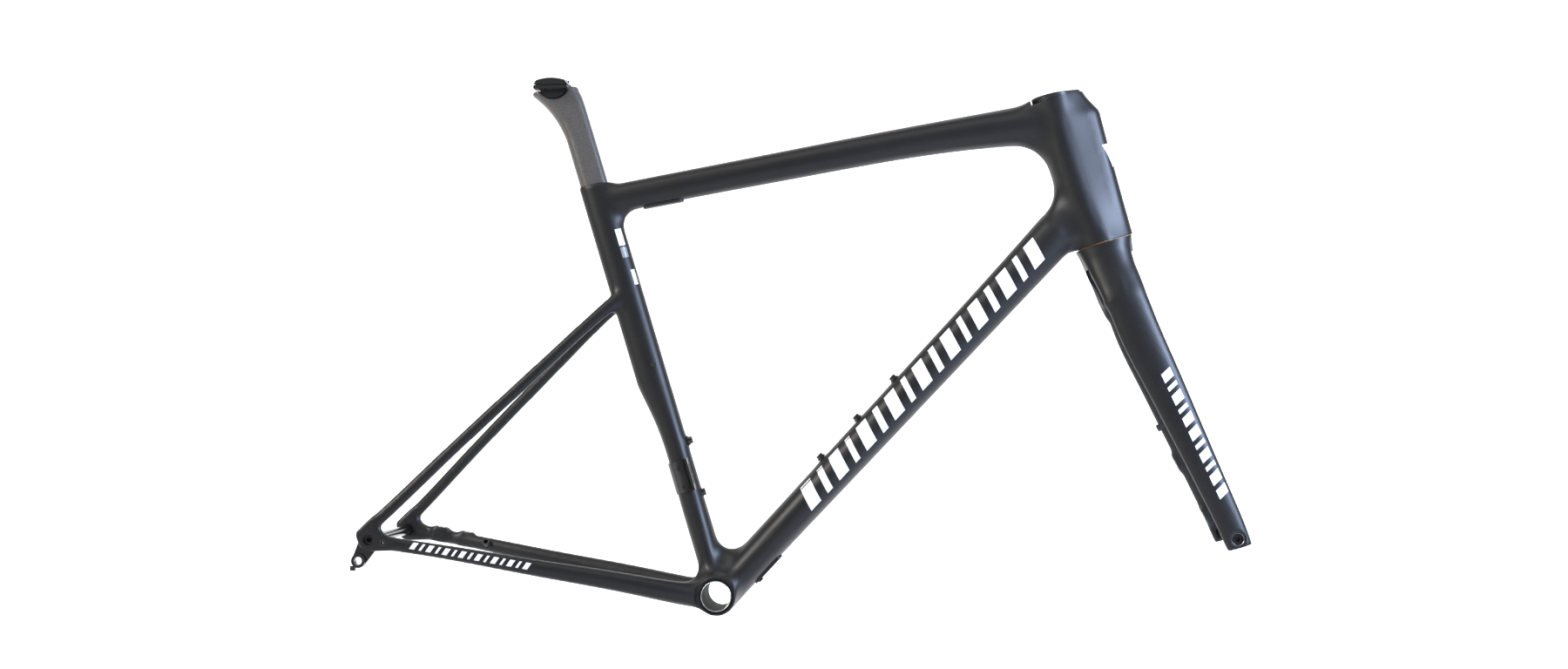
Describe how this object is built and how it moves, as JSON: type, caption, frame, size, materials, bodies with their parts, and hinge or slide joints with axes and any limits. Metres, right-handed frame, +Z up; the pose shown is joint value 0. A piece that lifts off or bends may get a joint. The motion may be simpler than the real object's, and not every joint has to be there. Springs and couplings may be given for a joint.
{
  "type": "bicycle frame",
  "caption": "Road bicycle frameset for disc brakes: frame with dropped stays, bladed fork that steers in a headset, aero seatpost with saddle clamp, and both through axles.",
  "frame": {"origin": "middle of the bottom bracket shell, on its axis", "axes": "+X forward, +Y to the rider's left along the bottom bracket axis, +Z up"},
  "size_m": [1.0456, 0.1677, 0.6454],
  "materials": {
    "carbon_paint": "satin near-black lacquer over carbon fibre",
    "carbon_post": "satin black lacquer over carbon fibre",
    "alloy_sleeve": "machined, bright",
    "black_alloy": "black anodised, satin",
    "axle_alloy": "dark anodised, polished",
    "black_steel": "black oxide, glossy",
    "bearing_steel": "ground",
    "black_rubber": "matte",
    "black_plastic": "moulded, semi-gloss",
    "seal_bronze": "matte bronze-coloured seal"
  },
  "bodies": {
    "frame": {"head_tube": "carbon_paint", "top_tube": "carbon_paint", "down_tube": "carbon_paint", "seat_tube": "carbon_paint", "bottom_bracket_shell": "carbon_paint", "bottom_bracket_sleeve": "alloy_sleeve", "chainstay_right": "carbon_paint", "chainstay_left": "carbon_paint", "seatstay_right": "carbon_paint", "seatstay_left": "carbon_paint", "dropout_right": "carbon_paint", "dropout_left": "carbon_paint", "derailleur_hanger": "black_alloy", "derailleur_wire_grommet": "black_rubber", "rear_brake_mount_sleeves": "alloy_sleeve", "rear_brake_hose_grommet": "black_rubber", "down_tube_bottle_bosses": "black_alloy", "seat_tube_bottle_bosses": "black_alloy", "bottle_bolt_washers": "black_steel", "bottle_bolts": "black_steel", "front_derailleur_mount": "black_alloy", "front_derailleur_mount_screws": "black_steel", "front_derailleur_wire_plug": "black_rubber", "seat_clamp_cover": "black_rubber", "seat_clamp_bolt": "black_steel", "service_port_cover": "black_plastic", "service_port_screw": "black_steel", "lower_bearing_outer_race": "bearing_steel", "upper_bearing_outer_race": "bearing_steel"},
    "seat_clamp_wedge": {"seat_clamp_wedge": "black_alloy"},
    "upper_ball_cage": {"upper_bearing_balls": "bearing_steel", "upper_bearing_cage": "black_plastic"},
    "lower_ball_cage": {"lower_bearing_balls": "bearing_steel", "lower_bearing_cage": "black_plastic"},
    "fork": {"steerer_tube": "carbon_post", "fork_crown": "carbon_paint", "fork_leg_right": "carbon_paint", "fork_leg_left": "carbon_paint", "front_axle_insert_right": "alloy_sleeve", "front_axle_insert_left": "alloy_sleeve", "lower_bearing_inner_race": "bearing_steel", "lower_bearing_seal": "seal_bronze", "upper_bearing_inner_race": "bearing_steel", "headset_compression_ring": "black_alloy", "headset_top_cover": "black_plastic", "front_brake_mount_inserts": "black_alloy", "front_brake_hose_grommet": "black_rubber"},
    "front_thru_axle": {"front_thru_axle": "axle_alloy"},
    "rear_thru_axle": {"rear_thru_axle": "axle_alloy"},
    "seatpost": {"seatpost": "carbon_post"},
    "saddle_clamp": {"saddle_clamp_cradle": "black_alloy", "saddle_clamp_top_plate": "black_alloy", "saddle_clamp_bolts": "black_steel"}
  },
  "joints": [
    {"name": "steering", "type": "hinge", "parent": "frame", "child": "fork", "pos_m": [0.45475, 0, 0.41227], "axis": [-0.284, 0, 0.9588], "range_deg": [-60, 60]},
    {"name": "upper_cage_roll", "type": "hinge", "parent": "frame", "child": "upper_ball_cage", "pos_m": [0.45475, 0, 0.41227], "axis": [-0.284, 0, 0.9588], "range_deg": [-30, 30]},
    {"name": "lower_cage_roll", "type": "hinge", "parent": "frame", "child": "lower_ball_cage", "pos_m": [0.45475, 0, 0.41227], "axis": [-0.284, 0, 0.9588], "range_deg": [-30, 30]},
    {"name": "seatpost_height", "type": "slide", "parent": "frame", "child": "seatpost", "axis": [-0.284, 0, 0.9588], "range_m": [-0.01, 0.13]},
    {"name": "saddle_tilt", "type": "hinge", "parent": "seatpost", "child": "saddle_clamp", "pos_m": [-0.1995, 0, 0.6166], "axis": [0, 1, 0], "range_deg": [-6, 6]},
    {"name": "clamp_wedge_draw", "type": "slide", "parent": "frame", "child": "seat_clamp_wedge", "axis": [-0.284, 0, 0.9588], "range_m": [-0.002, 0]},
    {"name": "rear_axle_withdraw", "type": "slide", "parent": "frame", "child": "rear_thru_axle", "axis": [0, 1, 0], "range_m": [0, 0.17]},
    {"name": "front_axle_withdraw", "type": "slide", "parent": "fork", "child": "front_thru_axle", "axis": [0, 1, 0], "range_m": [0, 0.125]}
  ],
  "couplings": [
    {"joint": "upper_cage_roll", "follows": "steering", "ratio": 0.4667},
    {"joint": "lower_cage_roll", "follows": "steering", "ratio": 0.4667}
  ]
}
